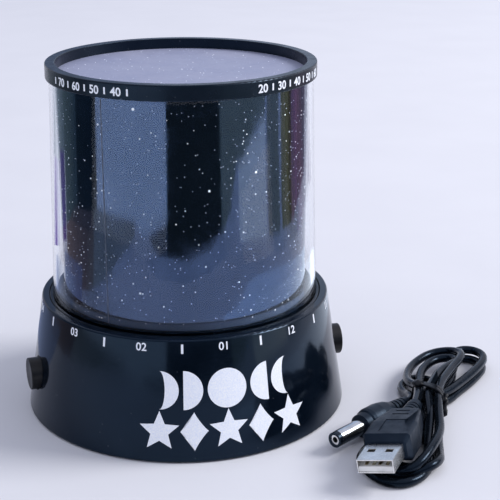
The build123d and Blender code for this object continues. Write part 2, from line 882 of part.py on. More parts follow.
with BuildPart() as led_wires:
    with BuildSketch(Plane.XY.offset(board_top)):
        with GridLocations(led_wire_pitch, led_wire_pitch, 2, 2):
            Circle(wire_radius)
    extrude(amount=cup_top - board_top)
finish(led_wires, "led_wires")

side_lane = (switch_back - max(board_length, bay_width + 2 * tray_wall) / 2) / 2
for side_name, azimuth in button_sides:
    switch_end = side_plane(azimuth, button_height, switch_back)
    side = 1 if azimuth > 0 else -1
    with BuildPart() as switch_wires:
        for shift in (-wire_spread, wire_spread):
            first = switch_end.from_local_coords((shift, 0, 0))
            second = first - switch_end.z_dir * side_lane
            wire(
                [
                    first,
                    second,
                    (second.X, second.Y, connector_middle),
                    (side * connector_face, second.Y, connector_middle),
                ]
            )
    finish(switch_wires, f"{side_name}_switch_wires")

with BuildPart() as jack_wires:
    back_lane = (max(tray_end, board_width / 2) + jack_back) / 2
    for x in (-wire_spread, wire_spread):
        wire(
            [
                (x, jack_back, jack_height),
                (x, back_lane, jack_height),
                (x, back_lane, connector_middle),
                (x, connector_y + connector_size[0] / 2, connector_middle),
            ]
        )
finish(jack_wires, "jack_wires")

# ---------------------------------------------------------------- USB plug of the lead
usb_z = plug_bed + (usb_grip[0] * sin(radians(usb_roll)) + usb_grip[1] * cos(radians(usb_roll))) / 2
usb_depth = usb_shell_length + usb_shell_sink
usb_inside = usb_shell[0] - 2 * usb_sheet
usb_tail_slope = (usb_grip[1] - usb_tail[1]) / 2 / (usb_grip_end - usb_grip_shoulder)
tongue_low = usb_sheet - usb_shell[1] / 2
tongue_top = tongue_low + tongue_height - glued_gap


def usb_plane(along):
    """Plane across the USB plug, some way behind its open end."""
    level = lead_plane(usb_tip, usb_heading, usb_z, along)
    return Plane(level.location * Rotation(0, 0, -usb_roll))


with BuildPart() as usb_plug_shell:
    with BuildSketch(usb_plane(0)):
        Rectangle(*usb_shell)
        Rectangle(usb_inside, usb_shell[1] - 2 * usb_sheet, mode=Mode.SUBTRACT)
    extrude(amount=usb_depth)
    for side in (-1, 1):
        window = Plane(
            origin=usb_plane(usb_window_spot[1]).from_local_coords((side * usb_window_spot[0], 0, 0)),
            x_dir=usb_plane(0).x_dir,
            z_dir=usb_plane(0).y_dir,
        )
        with BuildSketch(window):
            Rectangle(*usb_window)
        extrude(amount=usb_shell[1], mode=Mode.SUBTRACT)
finish(usb_plug_shell, "usb_plug_shell")

with BuildPart() as usb_plug_tongue:
    with BuildSketch(usb_plane(tongue_setback)):
        with Locations((0, tongue_low + tongue_height / 2)):
            Rectangle(usb_inside - 2 * glued_gap, tongue_height - 2 * glued_gap)
    extrude(amount=usb_depth - tongue_setback)
finish(usb_plug_tongue, "usb_plug_tongue")

with BuildPart() as usb_plug_contacts:
    for x in contact_spots:
        with BuildSketch(usb_plane(contact_start)):
            with Locations((x, tongue_top + contact_size[1] / 2)):
                Rectangle(*contact_size)
        extrude(amount=contact_length)
finish(usb_plug_contacts, "usb_plug_contacts")

with BuildPart() as usb_plug_grip:
    with BuildSketch(usb_plane(usb_shell_length)):
        RectangleRounded(*usb_nose, usb_corner)
    with BuildSketch(usb_plane(usb_grip_full)):
        RectangleRounded(*usb_grip, usb_corner)
    loft()
    with BuildSketch(usb_plane(usb_grip_full)):
        RectangleRounded(*usb_grip, usb_corner)
    extrude(amount=usb_grip_shoulder - usb_grip_full)
    with BuildSketch(usb_plane(usb_grip_shoulder)):
        RectangleRounded(*usb_grip, usb_corner)
    with BuildSketch(usb_plane(usb_grip_end)):
        RectangleRounded(*usb_tail, usb_corner)
    loft()
    across(usb_plane(usb_grip_end), usb_relief_core, usb_relief_end - usb_grip_end)
    for step in range(ridge_count):
        ridge = usb_plane(usb_grip_end + usb_ridge_start + usb_ridge_pitch * step)
        across(ridge, usb_ridge_radius - ridge_narrowing * step, usb_ridge_length)
    # recess and finger grooves in the upper face
    recesses = [(*usb_panel_spot, *usb_panel, usb_panel_depth)]
    recesses += [(0, along, width, usb_groove_width, usb_groove_depth) for along, width in usb_grooves]
    for aside, along, width, length, depth in recesses:
        sunk = max(along - usb_grip_shoulder, 0) * usb_tail_slope + depth
        with BuildSketch(usb_plane(along - length / 2)):
            with Locations((-aside, (usb_grip[1] - sunk) / 2)):
                Rectangle(width, sunk)
        extrude(amount=length, mode=Mode.SUBTRACT)
    with BuildSketch(usb_plane(usb_shell_length)):
        Rectangle(*usb_shell)
    extrude(amount=usb_shell_sink, mode=Mode.SUBTRACT)
finish(usb_plug_grip, "usb_plug_grip")

# ---------------------------------------------------------------- DC plug of the lead
dc_depth = dc_barrel_length + dc_sink


def dc_plane(along):
    """Plane across the DC plug, some way behind its tip."""
    return lead_plane(dc_tip, dc_heading, dc_grip_radius, along)


def dc_sleeve(start, end, outer, inner):
    """A round sleeve of the DC plug, between two distances behind its tip."""
    with BuildSketch(dc_plane(start)) as ring:
        Circle(outer)
        Circle(inner, mode=Mode.SUBTRACT)
    extrude(ring.sketch, amount=end - start)


with BuildPart() as dc_plug_barrel:
    dc_sleeve(dc_tip_ring, dc_depth, dc_barrel_radius, dc_insulator_radius)
finish(dc_plug_barrel, "dc_plug_barrel")

with BuildPart() as dc_plug_tip:
    dc_sleeve(0, dc_tip_ring, dc_barrel_radius - dc_tip_step, dc_contact_radius)
    dc_sleeve(dc_tip_ring, dc_depth, dc_insulator_radius, dc_contact_radius)
finish(dc_plug_tip, "dc_plug_tip")

with BuildPart() as dc_plug_contact:
    dc_sleeve(dc_contact_setback, dc_depth, dc_contact_radius, dc_bore_radius)
finish(dc_plug_contact, "dc_plug_contact")

dc_relief_start = dc_barrel_length + dc_grip_length
dc_outline = [
    (0.0, dc_barrel_length),
    (dc_grip_radius - 0.9, dc_barrel_length),
    (dc_grip_radius - 0.7, dc_barrel_length + 2.6),
    (dc_grip_radius - 0.3, dc_barrel_length + 3.2),
    (dc_grip_radius, dc_barrel_length + 4.5),
    (dc_grip_radius, dc_barrel_length + 9.5),
    (dc_grip_radius - 0.6, dc_barrel_length + 13.5),
    (dc_ridge_radius + 0.1, dc_relief_start),
]
for step in range(ridge_count):
    ridge = dc_relief_start + dc_ridge_pitch * step
    ridge_radius = dc_ridge_radius - ridge_narrowing * step
    dc_outline += [
        (dc_relief_core, ridge),
        (dc_relief_core, ridge + dc_ridge_neck),
        (ridge_radius, ridge + dc_ridge_neck),
        (ridge_radius - 0.1, ridge + dc_ridge_pitch),
    ]
dc_outline += [
    (dc_relief_core - 0.1, dc_relief_start + dc_ridge_pitch * ridge_count),
    (dc_relief_core - 0.1, dc_relief_end),
    (0.0, dc_relief_end),
]

dc_section = Plane(origin=dc_plane(0).origin, x_dir=(0, 0, 1), z_dir=dc_plane(0).x_dir)
with BuildPart() as dc_plug_grip:
    with BuildSketch(dc_section):
        with BuildLine():
            Polyline(*dc_outline, close=True)
        make_face()
    revolve(axis=Axis(dc_plane(0).origin, dc_plane(0).z_dir))
    across(dc_plane(dc_barrel_length), dc_barrel_radius, dc_sink, Mode.SUBTRACT)
finish(dc_plug_grip, "dc_plug_grip")

# ---------------------------------------------------------------- hank of the lead and its tie
tie_place = lead_plane(tie_centre, tie_heading, tie_outer[1] / 2, -tie_width / 2)
tie_inner = (tie_outer[0] - 2 * tie_band, tie_outer[1] - 2 * tie_band)
waist_cut = 60.0  # larger than the hank's section
with BuildPart() as lead_hank:
    for outline, layer_top in (
        (hank_foot_outline, plug_bed),
        (hank_middle_outline, hank_middle),
        (hank_top_outline, hank_height),
    ):
        with BuildSketch(Plane.XY):
            with BuildLine():
                Polyline(*outline, close=True)
            make_face()
        extrude(amount=layer_top)
    fillet(lead_hank.edges().filter_by(Axis.Z).group_by(SortBy.LENGTH)[-1], hank_round)
    # the tie pulls a waist into the hank
    with BuildSketch(tie_place):
        Rectangle(waist_cut, waist_cut)
        Rectangle(*tie_inner, mode=Mode.SUBTRACT)
    extrude(amount=tie_width, mode=Mode.SUBTRACT)
finish(lead_hank, "lead_hank")

with BuildPart() as lead_tie:
    with BuildSketch(tie_place):
        RectangleRounded(*tie_outer, tie_round)
        Rectangle(*tie_inner, mode=Mode.SUBTRACT)
    extrude(amount=tie_width)
finish(lead_tie, "lead_tie")


# ---------------------------------------------------------------- free ends of the lead's cable
def corner_radius(before, corner, after):
    """Arc radius at a corner of a route: as large as its two runs allow."""
    run_in = Vector(corner) - Vector(before)
    run_out = Vector(after) - Vector(corner)
    turn_angle = radians(run_in.get_angle(run_out))
    return run_share * min(run_in.length, run_out.length) / tan(turn_angle / 2)


usb_run_end = (78.5, -40.8, 8.9)
usb_run = [tuple(usb_plane(usb_relief_end).origin), tuple(usb_plane(usb_relief_end + 4).origin), usb_run_end]
usb_bend = corner_radius(*usb_run)
dc_run_length = 2.2

with BuildPart() as lead_cable_usb:
    with BuildLine() as usb_route:
        FilletPolyline(*usb_run, radius=usb_bend)
    with BuildSketch(usb_plane(usb_relief_end)):
        Circle(cable_radius)
    sweep(path=usb_route.line)
finish(lead_cable_usb, "lead_cable_usb")

with BuildPart() as lead_cable_dc:
    across(dc_plane(dc_relief_end), cable_radius, dc_run_length)
finish(lead_cable_dc, "lead_cable_dc")

print("lead_cable_usb radius", round(usb_bend, 1), "mm")
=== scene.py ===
"""Looks of the star planetarium projector and of its lead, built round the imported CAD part."""

from math import copysign, cos, degrees, pi, radians, sin, sqrt, tau
from random import Random

import bmesh
import bpy
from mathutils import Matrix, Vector


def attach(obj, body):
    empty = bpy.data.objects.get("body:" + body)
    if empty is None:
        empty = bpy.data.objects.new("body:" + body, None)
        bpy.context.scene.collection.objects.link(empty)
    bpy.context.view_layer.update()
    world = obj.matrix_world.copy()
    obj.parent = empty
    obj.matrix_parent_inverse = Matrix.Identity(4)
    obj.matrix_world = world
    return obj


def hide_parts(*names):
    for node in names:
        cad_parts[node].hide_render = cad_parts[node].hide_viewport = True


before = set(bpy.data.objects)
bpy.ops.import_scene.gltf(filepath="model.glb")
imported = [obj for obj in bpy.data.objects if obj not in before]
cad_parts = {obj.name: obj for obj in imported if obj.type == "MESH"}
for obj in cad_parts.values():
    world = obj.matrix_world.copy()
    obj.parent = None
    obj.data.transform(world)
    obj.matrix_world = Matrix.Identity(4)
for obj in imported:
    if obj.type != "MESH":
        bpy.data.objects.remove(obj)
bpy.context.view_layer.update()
scene = bpy.context.scene
MM = 0.001

# ------------------------------------------------ sizes that follow the CAD part, in millimetres
housing_foot = (57.5, 0.3)  # radius and height
housing_top = (51.1, 41.3)
rim_radius = 46.35
rim_middle = 121.2  # height of the middle of the rim's outer face
film_radius = 43.1
film_levels = (40.2, 119.6)  # foot and top
disc_top = 120.2
led_levels = (57.0, 63.0)  # heights of the LEDs' flanges and domes
capacitor_stripe = (13.6, 13.7)  # along X, where the sleeve turns pale
capacitor_top = (34.2, 34.25)  # heights where the sleeve gives way to bare metal
resistor_ends = (-1.0, 3.5)  # along X
cable_radius = 1.6
tie_centre = (78.2, -42.3)
tie_axis = (0.5, 0.866)  # along the bundle
tie_side = (0.866, -0.5)  # across it, to the right

# ------------------------------------------------ camera
camera_place = (-0.1022, -0.4256, 0.2020)
camera_pitch = -18.58
camera_heading = 16.57  # from +Y towards +X
camera_lens = 92.7

camera = bpy.data.objects.new("camera", bpy.data.cameras.new("camera"))
camera.data.lens = camera_lens
camera.data.clip_start = 0.01
camera.location = camera_place
camera.rotation_euler = (radians(90 + camera_pitch), 0, radians(-camera_heading))
scene.collection.objects.link(camera)
scene.camera = camera


# ------------------------------------------------ material helpers
cool_gloss = (0.42, 0.66, 1.0, 1.0)  # tint of the reflections in black plastic


class Shader:
    """One material: its Principled surface, and short calls for the nodes that feed it."""

    def __init__(self, name, **sockets):
        self.material = bpy.data.materials.new(name)
        self.material.use_nodes = True
        self.tree = self.material.node_tree
        self.surface = self.tree.nodes["Principled BSDF"]
        self.place = self.tree.nodes.new("ShaderNodeTexCoord").outputs["Object"]
        for socket, value in sockets.items():
            self.surface.inputs[socket.replace("_", " ")].default_value = value

    def node(self, kind, inputs=None, **settings):
        """Adds a node and returns its first output."""
        made = self.tree.nodes.new("ShaderNode" + kind)
        for key, value in settings.items():
            setattr(made, key, value)
        for socket, value in (inputs or {}).items():
            self.feed(made.inputs[socket], value)
        return made.outputs[0]

    def feed(self, socket, value):
        """Links an output to a socket, or sets a plain value on it."""
        if isinstance(value, bpy.types.NodeSocket):
            self.tree.links.new(value, socket)
        elif socket.type == "RGBA" and len(value) == 3:
            socket.default_value = (*value, 1.0)
        else:
            socket.default_value = value

    def noise(self, size, detail=2.0, stretch=None):
        """Noise whose features are about this many millimetres wide, stretched along the axes."""
        place = self.place
        if stretch:
            place = self.node("Mapping", {"Vector": place, "Scale": stretch})
        return self.node("TexNoise", {"Vector": place, "Scale": 1 / (size * MM), "Detail": detail})

    def remap(self, value, low, high, start=0.35, end=0.65):
        """Stretches part of a value's range to another range."""
        return self.node(
            "MapRange", {"Value": value, "From Min": start, "From Max": end, "To Min": low, "To Max": high}
        )

    def mix(self, factor, first, second):
        """Mixes two colours."""
        return self.node("MixRGB", {"Fac": factor, "Color1": first, "Color2": second})

    def math(self, operation, first, second=0.0):
        """One arithmetic step."""
        return self.node("Math", {0: first, 1: second}, operation=operation)

    def axis(self, name):
        """One coordinate of the place, in metres."""
        made = self.tree.nodes.new("ShaderNodeSeparateXYZ")
        self.tree.links.new(self.place, made.inputs[0])
        return made.outputs[name]

    def ramp(self, name, ends):
        """Goes from 0 to 1 between two places along an axis, in millimetres."""
        return self.remap(self.axis(name), 0.0, 1.0, ends[0] * MM, ends[1] * MM)

    def specks(self, pitch, share):
        """1 on sparse round specks, 0 elsewhere: their pitch in millimetres, and their share of it."""
        cells = self.node("TexVoronoi", {"Vector": self.place, "Scale": 1 / (pitch * MM)})
        return self.remap(cells, 1.0, 0.0, share * 0.6, share)

    def colour(self, value):
        self.feed(self.surface.inputs["Base Color"], value)

    def rough(self, value):
        self.feed(self.surface.inputs["Roughness"], value)

    def bump(self, height, depth, under=None):
        """Relief of a depth in millimetres, on top of another relief."""
        inputs = {"Height": height, "Distance": depth * MM, "Strength": 1.0}
        if under:
            inputs["Normal"] = under
        relief = self.node("Bump", inputs)
        self.feed(self.surface.inputs["Normal"], relief)
        return relief


def moulded(name, dark, light, rough, grain, depth, blotch=9.0, dust=0.0, **sockets):
    """Moulded plastic or rubber: blotchy colour, uneven sheen, the mould's grain and some dust."""
    shader = Shader(name, **{"IOR": 1.42, **sockets})
    colour = shader.mix(shader.remap(shader.noise(blotch, 4.0), 0.0, 1.0), dark, light)
    sheen = shader.remap(shader.noise(blotch * 0.6, 6.0), *rough)
    if dust:
        specks = shader.math("MULTIPLY", shader.specks(2.6, 0.07), dust)
        colour = shader.mix(specks, colour, (0.30, 0.31, 0.34))
    shader.colour(colour)
    shader.rough(sheen)
    shader.bump(shader.noise(grain, 3.0), depth)
    return shader.material


def metal(name, dark, light, rough, stretch, scratch=0.35, depth=0.004):
    """Plated or drawn metal: uneven tone and fine scratches along one direction."""
    shader = Shader(name, Metallic=1.0)
    streaks = shader.noise(scratch, 3.0, stretch)
    shader.colour(shader.mix(shader.remap(shader.noise(5.0, 3.0), 0.0, 1.0), dark, light))
    shader.rough(shader.remap(streaks, *rough))
    shader.bump(streaks, depth)
    return shader.material


def epoxy(name, colour, lower):
    """Tinted LED epoxy, duller at its flange than at its dome."""
    shader = Shader(name, Transmission_Weight=0.55, IOR=1.52)
    height = shader.ramp("Z", led_levels)
    clouds = shader.remap(shader.noise(1.2), 0.0, 0.25)
    shader.colour(shader.mix(shader.math("ADD", height, clouds), lower, colour))
    shader.rough(shader.remap(shader.noise(0.8), 0.05, 0.14))
    return shader.material


# ------------------------------------------------ materials
film_margin = (43.4, 44.6)  # heights in millimetres between which the film turns from matt to mirror


def housing_material():
    """Glossy black ABS with a faint orange peel, a satin patchiness from handling and a little dust."""
    shader = Shader("housing_gloss", IOR=1.42, Specular_Tint=cool_gloss)
    blotch = shader.remap(shader.noise(14.0, 5.0), 0.0, 1.0)
    colour = shader.mix(blotch, (0.0015, 0.0035, 0.0075), (0.003, 0.006, 0.012))
    dust = shader.math("MULTIPLY", shader.specks(3.4, 0.05), 0.5)
    shader.colour(shader.mix(dust, colour, (0.22, 0.24, 0.28)))
    wiped = shader.noise(2.2, 4.0, (1.0, 1.0, 6.0))
    shader.rough(shader.math("ADD", shader.remap(blotch, 0.07, 0.11, 0, 1), shader.remap(wiped, 0.0, 0.05)))
    peel = shader.bump(shader.noise(2.4, 2.0), 0.006)
    shader.bump(shader.noise(0.5, 2.0), 0.0006, peel)
    return shader.material


def tube_material():
    """Clear acrylic with the slight waviness of a moulded tube."""
    shader = Shader("clear_acrylic", Transmission_Weight=1.0, IOR=1.2, Roughness=0.0)
    shader.colour((0.97, 0.985, 1.0))
    shader.bump(shader.noise(16.0, 1.0), 0.004)
    return shader.material


def film_material():
    """Dark printed film: a blue-black mirror with hazier drifts of sky and slack ripples.

    A matt margin at its foot hides the mirror image of the ledge that it stands on.
    """
    shader = Shader("star_film")
    shader.feed(shader.surface.inputs["Metallic"], shader.ramp("Z", film_margin))
    drift = shader.remap(shader.noise(22.0, 6.0), 0.0, 1.0, 0.4, 0.75)
    shader.colour(shader.mix(drift, (0.056, 0.086, 0.157), (0.074, 0.108, 0.192)))
    shader.rough(shader.remap(shader.noise(6.0, 4.0), 0.05, 0.11))
    shader.bump(shader.noise(26.0, 1.0, (1.0, 1.0, 0.45)), 0.03)
    return shader.material


def disc_material():
    """Milky film of the star disc, with clouds and fine grain. Its pale colour is partly its own milky tone
    and partly a painted reflection of the pale sky.
    """
    shader = Shader("star_disc", IOR=1.3, Specular_Tint=(0.8, 0.85, 1.0, 1.0))
    clouds = shader.remap(shader.noise(17.0, 6.0), 0.0, 1.0, 0.35, 0.7)
    grain = shader.remap(shader.noise(0.9, 3.0), 0.0, 0.4, 0.4, 0.75)
    # pale tone: partly the film's own, partly a painted reflection of the sky
    colour = shader.mix(clouds, (0.275, 0.297, 0.43), (0.326, 0.345, 0.472))
    shader.colour(shader.mix(grain, colour, (0.385, 0.40, 0.52)))
    shader.rough(shader.remap(shader.noise(6.0, 3.0), 0.36, 0.5))
    shader.bump(shader.noise(26.0, 1.0), 0.04)
    return shader.material


def print_material():
    """Silver-white screen print with a broken, grainy surface."""
    shader = Shader("screen_print")
    grain = shader.remap(shader.noise(0.45, 5.0), 0.0, 1.0, 0.3, 0.7)
    shader.colour(shader.mix(grain, (0.78, 0.84, 0.96), (0.97, 0.99, 1.0)))
    shader.rough(shader.remap(shader.noise(0.3), 0.35, 0.6))
    shader.bump(shader.noise(0.25, 3.0), 0.01)
    return shader.material


def star_material(name, low, high, glow=0.0):
    """Clear points in the film, each a little different, with a painted glow: their emission stands in for
    light that shines through them.
    """
    shader = Shader(name, Roughness=0.4, Emission_Strength=glow)
    tone = shader.mix(shader.remap(shader.noise(5.0, 2.0), 0.0, 1.0), low, high)
    shader.colour(tone)
    shader.feed(shader.surface.inputs["Emission Color"], tone)
    return shader.material


def board_material():
    """Green solder mask over copper tracks."""
    shader = Shader("circuit_board", IOR=1.5)
    tracks = shader.tree.nodes.new("ShaderNodeTexBrick")
    shader.tree.links.new(shader.place, tracks.inputs["Vector"])
    layout = {"Scale": 1 / MM, "Mortar Size": 0.28, "Brick Width": 4.6, "Row Height": 2.1}
    for socket, value in layout.items():
        tracks.inputs[socket].default_value = value
    copper = tracks.outputs["Fac"]
    clouds = shader.remap(shader.noise(6.0, 4.0), 0.0, 1.0)
    mask = shader.mix(clouds, (0.012, 0.085, 0.03), (0.02, 0.12, 0.045))
    shader.colour(shader.mix(copper, mask, (0.045, 0.22, 0.075)))
    shader.rough(shader.remap(shader.noise(1.5, 3.0), 0.2, 0.38))
    shader.bump(copper, 0.03)
    return shader.material


def resistor_material():
    """Lacquered tan body with four colour bands across it."""
    shader = Shader("resistor_tan")
    tan, band_width = (0.62, 0.48, 0.28), 0.08
    brown, black, red, gold = (0.35, 0.12, 0.03), (0.01, 0.01, 0.01), (0.55, 0.05, 0.03), (0.6, 0.42, 0.1)
    bands = shader.tree.nodes.new("ShaderNodeValToRGB")
    bands.color_ramp.interpolation = "CONSTANT"
    stops = bands.color_ramp.elements
    stops[0].color = (*tan, 1.0)
    stops.remove(stops[1])
    for start, stripe in ((0.14, brown), (0.34, black), (0.52, red), (0.80, gold)):
        stops.new(start).color = (*stripe, 1.0)
        stops.new(start + band_width).color = (*tan, 1.0)
    shader.feed(bands.inputs[0], shader.ramp("X", resistor_ends))
    stains = shader.remap(shader.noise(0.6), 0.0, 0.25)
    shader.colour(shader.mix(stains, bands.outputs[0], (0.3, 0.22, 0.12)))
    shader.rough(shader.remap(shader.noise(0.5), 0.3, 0.5))
    return shader.material


def capacitor_material():
    """Black sleeve with a pale stripe down one side and a bare aluminium top."""
    shader = Shader("capacitor_black")
    sleeve = shader.mix(shader.ramp("X", capacitor_stripe), (0.01, 0.01, 0.02), (0.45, 0.46, 0.48))
    shader.colour(shader.mix(shader.ramp("Z", capacitor_top), sleeve, (0.6, 0.6, 0.62)))
    shader.rough(shader.remap(shader.noise(0.8), 0.25, 0.4))
    return shader.material


def jacket_material():
    """Satin PVC jacket of the cable, rubbed in places."""
    shader = Shader("lead_cable", IOR=1.35, Specular_Tint=cool_gloss)
    rubbed = shader.remap(shader.noise(3.0, 5.0), 0.0, 1.0)
    shader.colour(shader.mix(rubbed, (0.0015, 0.0023, 0.004), (0.0035, 0.005, 0.008)))
    shader.rough(shader.remap(shader.noise(1.1, 4.0), 0.17, 0.29))
    ripple = shader.bump(shader.noise(1.6, 2.0), 0.03)
    shader.bump(shader.noise(0.18, 2.0), 0.004, ripple)
    return shader.material


# moulded: dark and light colour, roughness, width and depth of the grain, width of the blotches
satin = moulded(
    "satin_black", (0.002, 0.004, 0.008), (0.005, 0.0075, 0.012), (0.22, 0.34), 0.5, 0.004,
    dust=0.4, Specular_Tint=cool_gloss,
)  # fmt: skip
matte = moulded("matte_black", (0.010, 0.010, 0.012), (0.018, 0.018, 0.021), (0.45, 0.62), 0.22, 0.012)
ring_black = moulded(
    "ring_black", (0.001, 0.0025, 0.005), (0.002, 0.004, 0.008), (0.12, 0.22), 0.6, 0.002,
    IOR=1.3, Specular_Tint=cool_gloss,
)  # fmt: skip
button_black = moulded(
    "button_black", (0.005, 0.005, 0.0065), (0.009, 0.009, 0.011), (0.34, 0.48), 0.2, 0.008
)  # fmt: skip
rubber = moulded("foot_rubber", (0.012, 0.012, 0.013), (0.028, 0.027, 0.027), (0.7, 0.9), 0.35, 0.03)
plug_black = moulded(
    "plug_moulding", (0.004, 0.007, 0.013), (0.008, 0.012, 0.020), (0.34, 0.48), 0.16, 0.010, 5.0,
    IOR=1.36, Specular_Tint=cool_gloss,
)  # fmt: skip
tie_black = moulded(
    "tie_black", (0.002, 0.003, 0.006), (0.006, 0.008, 0.013), (0.3, 0.45), 0.3, 0.02, 2.0,
    IOR=1.35,
)  # fmt: skip
white = moulded("white_plastic", (0.66, 0.66, 0.64), (0.82, 0.82, 0.79), (0.32, 0.5), 0.3, 0.004, 3.0)
red_wire = moulded("wire_red", (0.36, 0.015, 0.012), (0.52, 0.03, 0.022), (0.35, 0.5), 0.5, 0.01, 2.0)
black_wire = moulded("wire_black", (0.01, 0.01, 0.01), (0.02, 0.02, 0.02), (0.35, 0.5), 0.5, 0.01, 2.0)
# metal: dark and light colour, roughness, stretch of the scratches, their width and depth
steel = metal("steel", (0.44, 0.45, 0.46), (0.62, 0.63, 0.65), (0.26, 0.45), (1.0, 1.0, 1.0), 0.5)
nickel = metal("nickel", (0.74, 0.73, 0.71), (0.90, 0.89, 0.87), (0.16, 0.32), (1.0, 5.0, 3.0))
chrome = metal("chrome", (0.50, 0.53, 0.57), (0.66, 0.69, 0.73), (0.12, 0.26), (4.0, 4.0, 1.0), 0.5, 0.002)
brass = metal("brass", (0.36, 0.29, 0.16), (0.52, 0.43, 0.26), (0.18, 0.34), (1.0, 3.0, 1.0))
print_white = print_material()
cable_jacket = jacket_material()
circuit = board_material()

node_materials = {
    "base_housing": housing_material(),
    "top_rim": satin,
    "drum_tube": tube_material(),
    "star_film": film_material(),
    "star_disc": disc_material(),
    "spacer_ring": ring_black,
    "socket_ring": ring_black,
    "left_button": button_black,
    "right_button": button_black,
    "rubber_feet": rubber,
    "cover_screws": steel,
    "post_screws": steel,
    "board_screws": steel,
    "battery_springs": nickel,
    "battery_plates": nickel,
    "dc_jack_pin": nickel,
    "usb_plug_shell": nickel,
    "dc_plug_barrel": chrome,
    "dc_plug_contact": nickel,
    "usb_plug_contacts": brass,
    "usb_plug_tongue": white,
    "wire_connectors": white,
    "usb_plug_grip": plug_black,
    "dc_plug_grip": plug_black,
    "dc_plug_tip": satin,
    "led_board": circuit,
    "main_board": circuit,
    "white_led": epoxy("led_white", (0.93, 0.95, 0.98), (0.75, 0.72, 0.5)),
    "red_led": epoxy("led_red", (0.8, 0.04, 0.03), (0.4, 0.02, 0.02)),
    "green_led": epoxy("led_green", (0.05, 0.6, 0.1), (0.03, 0.3, 0.06)),
    "blue_led": epoxy("led_blue", (0.05, 0.12, 0.85), (0.03, 0.06, 0.4)),
    "capacitor": capacitor_material(),
    "resistors": resistor_material(),
    "battery_wires": red_wire,
    "led_wires": red_wire,
    "jack_wires": red_wire,
    "left_switch_wires": black_wire,
    "right_switch_wires": black_wire,
    "lead_hank": cable_jacket,
    "lead_cable_usb": cable_jacket,
    "lead_cable_dc": cable_jacket,
}
for node_name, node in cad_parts.items():
    for material_slot in node.material_slots:
        material_slot.material = node_materials.get(node_name, matte)
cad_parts["drum_tube"].visible_shadow = False


# ------------------------------------------------ mesh helpers
def piece(name, data, body, slot, *materials):
    """Adds a piece that rides on a body and carries the given materials; its slot is not used."""
    made = bpy.data.objects.new(name, data)
    for material in materials:
        data.materials.append(material)
    scene.collection.objects.link(made)
    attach(made, body)
    return made


def to_mesh(name, bm, smooth=False):
    """Turns a bmesh into a mesh with outward normals."""
    bmesh.ops.recalc_face_normals(bm, faces=bm.faces)
    mesh = bpy.data.meshes.new(name)
    bm.to_mesh(mesh)
    bm.free()
    for face in mesh.polygons:
        face.use_smooth = smooth
    return mesh


def housing_radius(z):
    """Radius of the housing's face at a height, in millimetres."""
    (foot, low), (top, high) = housing_foot, housing_top
    return foot + (top - foot) * (z - low) / (high - low)


# ------------------------------------------------ the lead's cable, in one hank
def through_tie(column, row, ahead=0.0):
    """A point of the route in the tie, in millimetres: across the bundle, above the floor, and along it."""
    return (
        tie_centre[0] + tie_side[0] * column + tie_axis[0] * ahead,
        tie_centre[1] + tie_side[1] * column + tie_axis[1] * ahead,
        row,
    )


